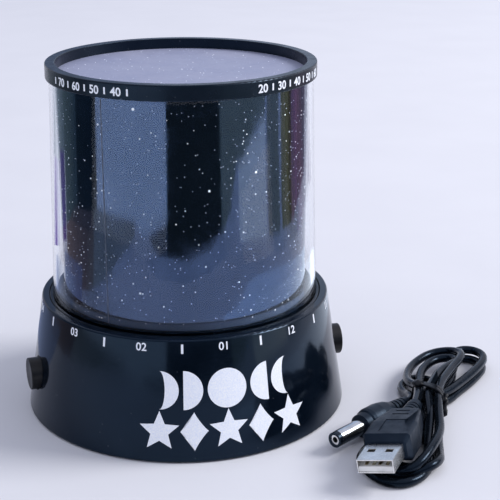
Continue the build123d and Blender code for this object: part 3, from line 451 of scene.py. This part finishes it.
LEFT, MIDDLE, RIGHT = -3.5, 0.0, 3.5  # the columns and rows in which the turns pass through the tie
LOW, HALF, HIGH = 2.5, 5.7, 8.9
route = [
    # out of the USB plug
    (67.98, -53.94, 9.39), (71.0, -49.0, 9.3),
    through_tie(LEFT, HIGH, -1),
    # large left loop at the back
    (76.3, -36.2, 8.0), (76.0, -30.6, 6.6), (77.6, -24.2, 5.4), (80.6, -18.3, 4.9), (84.4, -13.0, 4.8),
    (88.4, -9.4, 4.9), (93.6, -6.0, 5.2), (99.4, -5.2, 5.8), (104.1, -8.5, 6.8), (104.5, -14.4, 7.9),
    (101.0, -19.6, 8.2), (95.6, -25.3, 8.3), (90.6, -31.2, 8.6), (86.0, -36.8, 8.9),
    through_tie(RIGHT, HIGH, 2), through_tie(RIGHT, HIGH, -3),
    # outer front loop, over the others and back under the plugs
    (76.8, -53.6, 8.3), (73.9, -60.8, 7.4), (71.3, -67.6, 7.0), (67.3, -74.4, 7.2), (62.5, -80.3, 7.2),
    (57.6, -85.4, 6.2), (52.6, -87.8, 4.6), (48.4, -85.4, 2.8), (47.0, -80.4, 1.6), (47.9, -75.4, 1.6),
    (51.8, -70.4, 1.6), (57.6, -66.0, 1.6), (63.6, -61.7, 1.6), (69.6, -56.8, 1.8), (74.0, -50.8, 3.2),
    through_tie(LEFT, HALF, -2), through_tie(LEFT, HALF, 3.5),
    # loop inside the large left one
    (79.8, -31.0, 5.2), (82.4, -25.0, 4.8), (85.9, -18.6, 4.8), (90.4, -13.6, 4.8), (94.9, -10.6, 5.0),
    (99.4, -10.6, 5.4), (102.0, -14.0, 6.0), (100.6, -18.2, 6.8), (96.9, -21.2, 7.5),
    (93.6, -24.0, 7.9), (89.5, -27.4, 8.2), (84.6, -33.4, 8.5),
    through_tie(MIDDLE, HIGH, 2), through_tie(MIDDLE, HIGH, -3),
    # inner front loop
    (74.4, -51.0, 8.2), (71.9, -58.0, 6.8), (68.4, -65.6, 5.0), (64.8, -72.8, 4.4), (61.8, -79.2, 2.6),
    (58.0, -82.6, 1.6), (53.6, -82.2, 1.6), (51.0, -78.8, 1.6), (51.6, -74.6, 1.6), (55.2, -71.2, 1.6),
    (60.8, -67.6, 1.6), (67.0, -63.8, 1.6), (73.4, -58.4, 1.6), (78.2, -51.4, 1.9),
    through_tie(RIGHT, LOW, -2), through_tie(RIGHT, LOW, 3.5),
    # flat loop at the right
    (88.3, -38.6, 1.7), (94.5, -33.0, 1.6), (101.0, -28.0, 1.6), (107.0, -22.6, 1.6),
    (112.6, -16.6, 1.6), (114.0, -11.0, 1.6), (112.2, -6.6, 1.6), (108.0, -4.8, 1.6),
    (103.9, -7.0, 1.6), (101.6, -12.4, 1.6), (98.2, -20.2, 1.6), (93.4, -26.8, 1.6), (87.4, -32.2, 1.6),
    (82.6, -36.6, 2.0),
    through_tie(MIDDLE, LOW, 1.5), through_tie(MIDDLE, LOW, -3),
    # low front loop with the corner on the right
    (73.2, -49.8, 2.2), (68.2, -54.3, 1.6), (62.0, -58.9, 1.6), (56.0, -63.0, 1.6), (50.4, -67.2, 1.6),
    (45.8, -71.4, 1.6), (43.7, -77.0, 1.6), (44.7, -82.6, 1.6), (49.4, -86.1, 1.6), (54.6, -87.0, 2.6),
    (60.2, -86.8, 4.2), (64.8, -82.2, 3.2), (67.2, -76.4, 1.8), (69.6, -70.6, 1.6), (72.6, -63.6, 1.6),
    (75.6, -56.6, 3.2), (78.6, -49.6, 5.2),
    through_tie(RIGHT, HALF, -1.5), through_tie(RIGHT, HALF, 3.5),
    # loop on top of the flat one
    (88.8, -37.8, 5.2), (95.2, -32.4, 4.8), (102.0, -26.9, 4.8), (108.2, -21.2, 4.8),
    (113.2, -15.6, 4.8), (115.2, -10.4, 4.8), (113.6, -5.8, 4.8), (109.4, -3.9, 4.8),
    (105.2, -5.8, 4.8), (102.9, -10.6, 4.8), (100.8, -16.4, 4.8), (96.4, -23.0, 4.8),
    (90.6, -29.4, 4.9), (84.6, -35.2, 5.4),
    through_tie(MIDDLE, HALF, 2.5), through_tie(MIDDLE, HALF, -3),
    # outermost front loop, on the floor
    (75.2, -49.8, 5.4), (73.0, -55.6, 4.8), (70.2, -61.6, 4.2), (67.2, -67.6, 1.9), (64.6, -73.4, 1.6),
    (62.6, -79.0, 1.6), (59.6, -84.4, 1.6), (55.2, -88.8, 1.6), (49.4, -91.2, 1.6), (43.8, -89.4, 1.6),
    (40.9, -83.8, 1.6), (40.2, -77.4, 1.6), (41.0, -71.2, 1.6), (45.2, -65.8, 1.6), (50.8, -61.2, 1.6),
    (57.4, -56.8, 1.6), (63.8, -52.4, 1.7), (69.7, -48.0, 2.0),
    through_tie(LEFT, LOW, -2), through_tie(LEFT, LOW, 3.5),
    # small loop at the back left, and into the DC plug
    (82.4, -32.2, 1.7), (87.0, -28.2, 1.6), (89.6, -23.8, 1.6), (88.0, -19.4, 1.6), (83.6, -17.4, 1.6),
    (78.8, -19.2, 1.6), (75.4, -24.2, 1.6), (74.6, -31.0, 2.6), (73.9, -36.4, 4.6), (72.7, -40.7, 5.0),
    (69.66, -42.5, 5.0),
]  # fmt: skip

cable = bpy.data.curves.new("lead_cord", "CURVE")
cable.dimensions = "3D"
cable.bevel_depth = cable_radius * MM
cable.bevel_resolution = 4
cable.resolution_u = 8
cable.use_fill_caps = True
spline = cable.splines.new("NURBS")
spline.points.add(len(route) - 1)
for point, place in zip(spline.points, route):
    point.co = (*(Vector(place) * MM), 1.0)
spline.order_u = 3
spline.use_endpoint_u = True
lead_cord = piece("lead_cord", cable, "lead", "lead_cable", cable_jacket)
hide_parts("lead_hank", "lead_cable_usb", "lead_cable_dc")


# ------------------------------------------------ the hank's tie, in millimetres
def in_tie(across, along, up):
    """A place by the tie, in metres, from millimetres across the bundle, along it and up."""
    side, axis = Vector((*tie_side, 0)), Vector((*tie_axis, 0))
    return (Vector((*tie_centre, 0)) + side * across + axis * along + Vector((0, 0, up))) * MM


strip_corners = 12
tie_band = (2.0, 0.9)  # width and thickness of the strip
tie_turns = ((-0.30, -0.4, 0.0), (-0.52, -1.9, 0.12))  # slant, place along the bundle, stand-off
turn_steps = 72
tie_half_width = 5.62
tie_half_height = 5.22
tie_facing_height = 5.2  # half height of the ellipse that gives the strip's outward direction
tie_middle = 5.72  # above the floor
tie_lowest = 0.55
tie_squareness = 0.62  # 1 is an ellipse
tail_band = (2.0, 1.3)
tail_steps = 40
tail_start = (6.3, -2.4, 8.6)  # across, along and up
tail_length = 6.4
tail_bulge = (0.9, -0.5)  # even and growing
tail_drop = (0.8, 4.2)
tail_twist = 2.2 * pi
knot_centre = (-3.7, -0.3, 10.9)
knot_size = (2.1, 1.9, 1.3)


def pushed(wave, power):
    """A sine or cosine raised to a power, with its sign: under 1 squares a circle, over 1 hollows it."""
    return copysign(abs(wave) ** power, wave)


def strip(bm, steps, size, closed):
    """Sweeps a flat strip with rounded edges along steps: each has a place, a width and a face direction."""
    width, thickness = size
    flat = 0.4 * thickness
    section = []
    for i in range(strip_corners):
        t = tau * i / strip_corners
        section.append((width / 2 * cos(t), max(-flat, min(flat, 0.75 * thickness * sin(t)))))
    rings = []
    for place, along, out in steps:
        rings.append([bm.verts.new(place + (along * x + out * y) * MM) for x, y in section])
    following = rings[1:] + rings[:1] if closed else rings[1:]
    for ring, after in zip(rings, following):
        for i in range(strip_corners):
            j = (i + 1) % strip_corners
            bm.faces.new((ring[i], ring[j], after[j], after[i]))
    if not closed:
        bm.faces.new(rings[0])
        bm.faces.new(rings[-1])


def tie_turn(bm, slant, shift, stand_off):
    """One turn of the tie round the bundle, askew."""
    axis, steps = Vector((*tie_axis, 0)), []
    for i in range(turn_steps):
        c, s = cos(tau * i / turn_steps), sin(tau * i / turn_steps)
        across = (tie_half_width + stand_off) * pushed(c, tie_squareness)
        up = tie_middle + (tie_half_height + stand_off) * pushed(s, tie_squareness)
        place = in_tie(across, slant * across + shift, max(up, tie_lowest))
        out = in_tie(tie_half_width * c, 0, tie_facing_height * s) - in_tie(0, 0, 0)
        steps.append((place, axis, out.normalized()))
    strip(bm, steps, tie_band, True)


def tie_tail(bm):
    """The tie's short twisted tail, down the bundle's right side."""
    axis, steps = Vector((*tie_axis, 0)), []
    across, along, up = tail_start
    for i in range(tail_steps):
        t = i / (tail_steps - 1)
        bulge = (tail_bulge[0] + tail_bulge[1] * t) * t
        drop = (tail_drop[0] + tail_drop[1] * t) * t
        spin = tail_twist * t
        width = Vector((cos(spin) * tie_side[0], cos(spin) * tie_side[1], sin(spin)))
        place = in_tie(across + bulge, along - tail_length * t, up - drop)
        steps.append((place, width, width.cross(axis).normalized()))
    strip(bm, steps, tail_band, False)


def tie_knot(bm):
    """The tie's lumpy knot, on top of the bundle at the left."""
    for vert in bmesh.ops.create_icosphere(bm, subdivisions=3, radius=MM)["verts"]:
        x, y, z = way = vert.co / MM
        lump = 1 + 0.14 * sin(5 * x + 2 * z) * cos(4 * y)
        vert.co = in_tie(*(knot_centre[i] + knot_size[i] * way[i] * lump for i in range(3)))


def build_tie():
    """A tie wound twice round the bundle, with its knot on top and its tail on the right."""
    bm = bmesh.new()
    for slant, shift, stand_off in tie_turns:
        tie_turn(bm, slant, shift, stand_off)
    tie_tail(bm)
    tie_knot(bm)
    return to_mesh("hank_tie", bm, True)


hank_tie = piece("hank_tie", build_tie(), "lead", "matte_black", tie_black)
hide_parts("lead_tie")

# ------------------------------------------------ printing on round faces, in millimetres and degrees
print_thickness = 0.1
slice_width = 1.0  # a drawing is cut this fine before it is wrapped
month_step = 30.0
month_height, month_weight, month_level = 2.7, 0.012, 38.75
tick_size, tick_level = (0.75, 3.1), 38.45
motif_azimuth = 0.8
moon_level, moon_gap = 24.7, 1.5
# radius, lit share and whether it grows, for each moon
moon_phases = ((6.4, 0.36, True), (6.5, 0.5, True), (6.6, 1.0, True), (6.5, 0.5, False), (6.4, 0.36, False))
moon_steps = 24
star_level, star_gap, star_count = 10.9, 0.4, 5
star_shape = (6.9, 5, 0.45)  # radius, tips, and how far in its notches are
sparkle_size, sparkle_hollow, sparkle_corners = (9.4, 13.0), 2.3, 40
rim_stretches = ((-75, -35), (20, 60))  # azimuths between which the rim has its scale
rim_step = 5
rim_tick = (0.6, 2.2)
rim_height, rim_weight = 2.8, 0.02


def polygon(points):
    """A flat drawing of one filled outline, in millimetres."""
    bm = bmesh.new()
    bm.faces.new([bm.verts.new((x, y, 0)) for x, y in points])
    bmesh.ops.triangulate(bm, faces=bm.faces)
    return bm


def lettering(text, height, weight=0.0):
    """A flat drawing of plain figures of a height in millimetres, centred on its middle."""
    curve = bpy.data.curves.new("lettering", "FONT")
    curve.body = text
    curve.fill_mode = "BOTH"
    curve.offset = weight
    curve.resolution_u = 4
    holder = bpy.data.objects.new("lettering", curve)
    mesh = bpy.data.meshes.new_from_object(holder)
    bm = bmesh.new()
    bm.from_mesh(mesh)
    bpy.data.objects.remove(holder)
    bpy.data.curves.remove(curve)
    bpy.data.meshes.remove(mesh)
    bmesh.ops.remove_doubles(bm, verts=bm.verts, dist=1e-5)
    xs, ys = [v.co.x for v in bm.verts], [v.co.y for v in bm.verts]
    scale = height / (max(ys) - min(ys))
    middle = ((max(xs) + min(xs)) / 2, (max(ys) + min(ys)) / 2)
    for vert in bm.verts:
        vert.co = ((vert.co.x - middle[0]) * scale, (vert.co.y - middle[1]) * scale, 0)
    return bm


def bar(width, height):
    """A flat upright bar, centred on its middle."""
    x, y = width / 2, height / 2
    return polygon([(-x, -y), (x, -y), (x, y), (-x, y)])


def moon(radius, lit, waxing):
    """A moon phase: lit is the share of the disc's width that shows."""
    bulge, side = 1 - 2 * lit, 1 if waxing else -1
    middle = side * radius * (1 + min(bulge, 0)) / 2
    bm = bmesh.new()
    rings = []
    for i in range(moon_steps + 1):
        reach, y = radius * sin(pi * i / moon_steps), radius * cos(pi * i / moon_steps)
        limb = bm.verts.new((side * reach - middle, y, 0))
        at_tip = i in (0, moon_steps)
        rings.append((limb, limb if at_tip else bm.verts.new((side * reach * bulge - middle, y, 0))))
    for (a, b), (c, d) in zip(rings, rings[1:]):
        bm.faces.new(list(dict.fromkeys((a, b, d, c))))
    return bm


def star(radius, tips, inner):
    """A star with straight points."""
    corners = []
    for i in range(2 * tips):
        reach = radius * (inner if i % 2 else 1)
        corners.append((reach * sin(pi * i / tips), reach * cos(pi * i / tips)))
    return polygon(corners)


def sparkle(width, height):
    """A four-pointed star with hollow sides."""
    corners = []
    for i in range(sparkle_corners):
        t = tau * i / sparkle_corners
        x, y = pushed(cos(t), sparkle_hollow), pushed(sin(t), sparkle_hollow)
        corners.append((width / 2 * x, height / 2 * y))
    return polygon(corners)


def wrap(drawing, radius_at, azimuth, level):
    """Wraps a flat drawing round a turned face as a thin slab.

    azimuth is in degrees from the front, level in millimetres above the floor.
    """
    xs = [v.co.x for v in drawing.verts]
    cut = slice_width * (int(min(xs) / slice_width) - 1)
    while cut < max(xs):
        geometry = drawing.verts[:] + drawing.edges[:] + drawing.faces[:]
        bmesh.ops.bisect_plane(drawing, geom=geometry, plane_co=(cut, 0, 0), plane_no=(1, 0, 0))
        cut += slice_width
    grown = bmesh.ops.extrude_face_region(drawing, geom=drawing.faces[:], use_keep_orig=True)
    for vert in grown["geom"]:
        if isinstance(vert, bmesh.types.BMVert):
            vert.co.z += print_thickness
    for vert in drawing.verts:
        a = radians(azimuth) + vert.co.x / radius_at(level)
        z = level + vert.co.y
        r = radius_at(z) + vert.co.z - print_thickness / 2
        vert.co = Vector((r * sin(a), -r * cos(a), z)) * MM
    return drawing


def merge(drawings):
    """Joins several bmeshes into one."""
    whole = bmesh.new()
    for drawing in drawings:
        mesh = bpy.data.meshes.new("part")
        drawing.to_mesh(mesh)
        drawing.free()
        whole.from_mesh(mesh)
        bpy.data.meshes.remove(mesh)
    return whole


def width_of(drawing):
    return max(v.co.x for v in drawing.verts) - min(v.co.x for v in drawing.verts)


def row(drawings, gap, azimuth, level):
    """Sets drawings side by side round the housing, centred on an azimuth."""
    total = sum(width_of(d) for d in drawings) + gap * (len(drawings) - 1)
    radius, start, wrapped = housing_radius(level), -total / 2, []
    for drawing in drawings:
        width = width_of(drawing)
        place = azimuth + degrees((start + width / 2) / radius)
        start += width + gap
        wrapped.append(wrap(drawing, housing_radius, place, level))
    return wrapped


def rim_face(level):
    """Radius of the rim's outer face, the same at every height."""
    return rim_radius


def month_scale():
    """The month numbers round the housing's top, with a tick between each two."""
    drawings = []
    for month in range(12):
        azimuth = -month_step * month
        label = lettering(f"{month + 1:02d}", month_height, month_weight)
        drawings.append(wrap(label, housing_radius, azimuth, month_level))
        drawings.append(wrap(bar(*tick_size), housing_radius, azimuth + month_step / 2, tick_level))
    return drawings


def front_motif():
    """A row of moon phases over a row of stars, on the housing's front."""
    moons = [moon(radius, lit, waxing) for radius, lit, waxing in moon_phases]
    stars = [sparkle(*sparkle_size) if i % 2 else star(*star_shape) for i in range(star_count)]
    return row(moons, moon_gap, motif_azimuth, moon_level) + row(stars, star_gap, motif_azimuth, star_level)


def rim_scale():
    """Degree figures with ticks between them, along two stretches of the rim."""
    drawings = []
    for first, last in rim_stretches:
        for azimuth in range(first, last + 1, rim_step):
            tick = azimuth % (2 * rim_step)
            mark = bar(*rim_tick) if tick else lettering(str(abs(azimuth)), rim_height, rim_weight)
            drawings.append(wrap(mark, rim_face, azimuth, rim_middle))
    return drawings


for name, drawings, body in (
    ("month_scale", month_scale(), "base"),
    ("front_motif", front_motif(), "base"),
    ("rim_scale", rim_scale(), "drum"),
):
    piece(name, to_mesh(name, merge(drawings)), body, "white_plastic", print_white)


# ------------------------------------------------ stars on film and disc, in millimetres and degrees
star_corners = 6
star_back, star_front = -0.04, 0.05  # off the face that a star lies on
edge_gap = 2.5  # free of stars at the film's foot and top
band_share = 0.15  # of the film's stars, which lie in a band
band_middle, band_swing, band_spread, band_turn = 78, 24, 9, 40
bright_spots = (
    (-34.3, 115.4, 0.5),
    (19.2, 93.4, 0.42),
    (-2.6, 89.0, 0.4),
    (-51.9, 109.2, 0.36),
    (-33.4, 54.0, 0.36),
)  # azimuth, height and radius of the few brightest stars
disc_stars, disc_reach, disc_bright_share, disc_sizes = 260, 41.5, 0.25, (0.1, 0.2)
seam_size, seam_azimuth, seam_level, seam_lift = (0.28, 76.0), -50.0, 79.5, 0.05


def dot(bm, place, across, up, size):
    """A thin six-sided slab at a place, in metres."""
    out = across.cross(up)
    rings = []
    for lift in (star_back, star_front):
        ring = []
        for i in range(star_corners):
            t = tau * i / star_corners
            ring.append(bm.verts.new(place + (across * cos(t) + up * sin(t)) * size * MM + out * lift * MM))
        rings.append(ring)
    back, front = rings
    for i in range(star_corners):
        j = (i + 1) % star_corners
        bm.faces.new((back[i], back[j], front[j], front[i]))
    bm.faces.new(front)
    bm.faces.new(back[::-1])


def film_star(bm, azimuth, level, size):
    """A star on the film."""
    a = radians(azimuth)
    out, across = Vector((sin(a), -cos(a), 0)), Vector((cos(a), sin(a), 0))
    dot(bm, (out * film_radius + Vector((0, 0, level))) * MM, across, Vector((0, 0, 1)), size)


def scatter(seed, count, sizes):
    """Stars all round the film, thicker along a drifting band, like the Milky Way."""
    draw, bm = Random(seed), bmesh.new()
    low, high = film_levels[0] + edge_gap, film_levels[1] - edge_gap
    for _ in range(count):
        azimuth = draw.uniform(-180, 180)
        level = draw.uniform(low, high)
        if draw.random() < band_share:
            drift = band_middle + band_swing * sin(radians(azimuth * 2 + band_turn))
            level = drift + draw.gauss(0, band_spread)
        film_star(bm, azimuth, min(max(level, low), high), draw.uniform(*sizes))
    return bm


def scatter_disc(seed, bright, faint):
    """Stars on the disc, each on the bright or the faint mesh."""
    draw = Random(seed)
    for _ in range(disc_stars):
        reach, a = disc_reach * sqrt(draw.random()), draw.uniform(0, tau)
        spot = Vector((reach * cos(a), reach * sin(a), disc_top)) * MM
        sheet = bright if draw.random() < disc_bright_share else faint
        dot(sheet, spot, Vector((1, 0, 0)), Vector((0, 1, 0)), draw.uniform(*disc_sizes))


bright = scatter(seed=3, count=270, sizes=(0.14, 0.25))
for azimuth, level, size in bright_spots:
    film_star(bright, azimuth, level, size)
faint = scatter(seed=11, count=1500, sizes=(0.10, 0.17))
scatter_disc(29, bright, faint)
seam = wrap(bar(*seam_size), lambda level: film_radius + seam_lift, seam_azimuth, seam_level)
# the stars' emission is painted light: clear points made to glow though they are no lamp
bright_painted_glow = star_material("bright_star", (0.78, 0.85, 1.0), (1.0, 1.0, 1.0), 0.45)
faint_painted_glow = star_material("faint_star", (0.40, 0.46, 0.62), (0.62, 0.68, 0.85), 0.2)
seam_edge = star_material("seam", (0.10, 0.12, 0.18), (0.16, 0.19, 0.27))
piece("bright_stars", to_mesh("bright_stars", bright), "drum", "star_film", bright_painted_glow)
piece("faint_stars", to_mesh("faint_stars", faint), "drum", "star_film", faint_painted_glow)
piece("film_seam", to_mesh("film_seam", seam), "drum", "star_film", seam_edge)


# ------------------------------------------------ studio: floor, cards and light
floor_half = 6.0  # metres
card_steps = 48
far_reach = 750.0  # millimetres, as every reach
room_reach = 2400.0
room_height = 1.3  # metres, as every height
back_heights = (0.2, 1.8)


def stage_object(name, mesh, material):
    """Adds a part of the studio, which isn't part of the object."""
    made = bpy.data.objects.new(name, mesh)
    mesh.materials.append(material)
    scene.collection.objects.link(made)
    return made


def floor_material():
    """Pale matt paper, a little uneven."""
    shader = Shader("floor", Roughness=0.8, Specular_IOR_Level=0.0)
    clouds = shader.remap(shader.noise(60.0, 3.0), 0.0, 1.0)
    shader.colour(shader.mix(clouds, (0.695, 0.705, 0.752), (0.71, 0.72, 0.767)))
    return shader.material


bm = bmesh.new()
bmesh.ops.create_grid(bm, x_segments=4, y_segments=4, size=floor_half)
stage_object("floor", to_mesh("floor", bm), floor_material())


def card(name, near, far, colour, low=0.001, high=0.001):
    """A glowing sheet round the object that only reflections see.

    near and far are its edges, as points of an azimuth in degrees and a reach in millimetres.
    low and high are their heights in metres, and high may be points of an azimuth and a height.
    """
    shader = Shader(name, Roughness=1.0, Specular_IOR_Level=0.0, Emission_Strength=1.0)
    shader.colour((0, 0, 0))
    shader.feed(shader.surface.inputs["Emission Color"], colour)
    bm = bmesh.new()
    first, last = near[0][0], near[-1][0]
    pairs = []
    for step in range(card_steps + 1):
        azimuth = first + (last - first) * step / card_steps
        out = Vector((sin(radians(azimuth)), -cos(radians(azimuth)), 0))
        inner = out * reach_at(near, azimuth) * MM + Vector((0, 0, low))
        top = reach_at(high, azimuth) if isinstance(high, list) else high
        outer = out * reach_at(far, azimuth) * MM + Vector((0, 0, top))
        pairs.append((bm.verts.new(inner), bm.verts.new(outer)))
    for (a, b), (c, d) in zip(pairs, pairs[1:]):
        bm.faces.new((a, b, d, c))
    made = stage_object(name, to_mesh(name, bm), shader.material)
    made.visible_camera = made.visible_diffuse = made.visible_shadow = False
    return made


def reach_at(edge, azimuth):
    """Reach, or height, of a card's edge at an azimuth, eased between the edge's points."""
    for (a, r), (b, q) in zip(edge, edge[1:]):
        if azimuth <= b:
            t = max(0.0, min(1.0, (azimuth - a) / (b - a)))
            return r + (q - r) * (1 - cos(pi * t)) / 2
    return edge[-1][1]


def beyond(first, last, reach=far_reach):
    """An edge that keeps its reach between two azimuths."""
    return [(first, reach), (last, reach)]


def wall(name, first, last, colour, low, high):
    """A card that stands upright, far off, between two azimuths."""
    edge = beyond(first, last, room_reach)
    return card(name, edge, edge, colour, low, high)


# in front: a dark figure with round shoulders, and a greyer stretch to its right
card(
    "card_figure",
    [(-27.3, 236), (-13.3, 233), (3.4, 246), (18, 268)],
    beyond(-27.3, 18),
    (0.04, 0.053, 0.055),
)
card(
    "card_figure_right",
    [(18, 268), (25.8, 303), (29, 351), (33, 410), (62, 530)],
    beyond(18, 62),
    (0.37, 0.42, 0.37),
)
card(
    "card_shoulder",
    [(-43, 262), (-38, 246), (-33, 237), (-27.3, 236)],
    [(-43, 266), (-38, 274), (-33, 280), (-27.3, 292)],
    (0.16, 0.19, 0.23),
)
card("card_light_column", beyond(34, 62, 250), [(34, 405), (50, 470), (62, 525)], (1.7, 1.6, 1.5))
# to the left: a window above a dark shape, and dark furniture beyond
card("card_window", [(-93, 300), (-56, 292), (-50, 270), (-27.3, 287)], beyond(-93, -27.3), (1.12, 1.2, 1.33))
card(
    "card_low_left",
    [(-97, 172), (-87, 184), (-79.4, 200), (-69.5, 226), (-62, 244), (-55.5, 262)],
    [(-97, 300), (-55.5, 288)],
    (0.35, 0.38, 0.40),
)
card("card_left", beyond(-119, -93, 290), beyond(-119, -93), (0.03, 0.05, 0.067))
card("card_far_left", [(-141, 250), (-119, 290)], beyond(-141, -119), (0.125, 0.18, 0.20))
card("card_far_corner", beyond(-158, -141, 400), beyond(-158, -141), (0.20, 0.26, 0.32))
card(
    "card_brown",
    [(-141, 200), (-130, 172), (-119, 160), (-104, 164), (-97, 172)],
    [(-141, 250), (-119, 290), (-97, 290)],
    (0.22, 0.175, 0.185),
)
card("card_violet", [(-156, 205), (-143, 215)], beyond(-156, -143, 400), (0.10, 0.045, 0.32))
# to the right: bright floor close by, and narrow coloured columns
card("card_near_right", beyond(2, 132, 128), [(2, 132), (24, 160), (48, 196), (132, 190)], (1.16, 1.29, 1.53))
card("card_teal", [(64, 246), (78, 248)], beyond(64, 78), (0.36, 0.40, 0.37))
card("card_olive", [(81, 250), (92, 252)], beyond(81, 92), (0.40, 0.36, 0.19))
card("card_dark_right", [(92, 252), (96, 256)], beyond(92, 96), (0.08, 0.08, 0.08))
card("card_pink", [(96, 254), (107, 280)], beyond(96, 107), (0.46, 0.25, 0.40))
card("card_plum", [(107, 290), (126, 330)], beyond(107, 126), (0.15, 0.13, 0.20))
# dark sheets that only reflections see: a painted reflection that deepens the lead's own image in the
# housing, and painted shade on the floor between its plugs
lead_outline = [
    (37, 0.0173),
    (42, 0.0173),
    (49.5, 0.015),
    (57, 0.0137),
    (61.5, 0.0188),
    (66, 0.0202),
    (73, 0.0156),
    (77.5, 0.003),
]
# painted reflection: a dark sheet in the lead's outline, deepening its image in the housing
card("card_lead_painted_reflection", beyond(37, 77.5, 92), beyond(37, 77.5, 92), (0.02, 0.03, 0.045), 0.002, lead_outline)
# painted shade: a near-black sheet on the floor between the plugs
card("card_plugs_painted_shade", beyond(20, 46, 74), beyond(20, 46, 102), (0.02, 0.025, 0.035))
# shade on the floor behind, to the left
card("card_shade", beyond(-150, -112, 92), beyond(-150, -112, 196), (0.24, 0.30, 0.50))
# the room's walls, as the housing sees them, and those behind, which the clear tube must not let through
wall("card_room", -124, 113, (0.12, 0.17, 0.26), 0.0, room_height)
wall("card_room_left", -150, -124, (0.25, 0.29, 0.40), 0.0, room_height)
for back in (
    wall("card_back_right", 146, 168, (0.50, 0.60, 0.80), *back_heights),
    wall("card_back_left", 168, 188, (0.22, 0.29, 0.46), *back_heights),
):
    back.visible_transmission = False

world = bpy.data.worlds.new("studio")
scene.world = world
world.use_nodes = True
background = world.node_tree.nodes["Background"].inputs
background["Color"].default_value = (0.65, 0.672, 0.79, 1.0)
background["Strength"].default_value = 1.0

key = bpy.data.objects.new("key", bpy.data.lights.new("key", "AREA"))
key.data.shape = "DISK"
key.data.size = 1.4
key.data.energy = 71.0
key.data.color = (1.0, 0.98, 0.97)
key_direction = Vector((0.79, -0.15, 0.60)).normalized()
key_distance = 3.0
key.location = key_direction * key_distance
key.rotation_euler = key_direction.to_track_quat("Z", "Y").to_euler()
scene.collection.objects.link(key)

scene.view_settings.view_transform = "Standard"
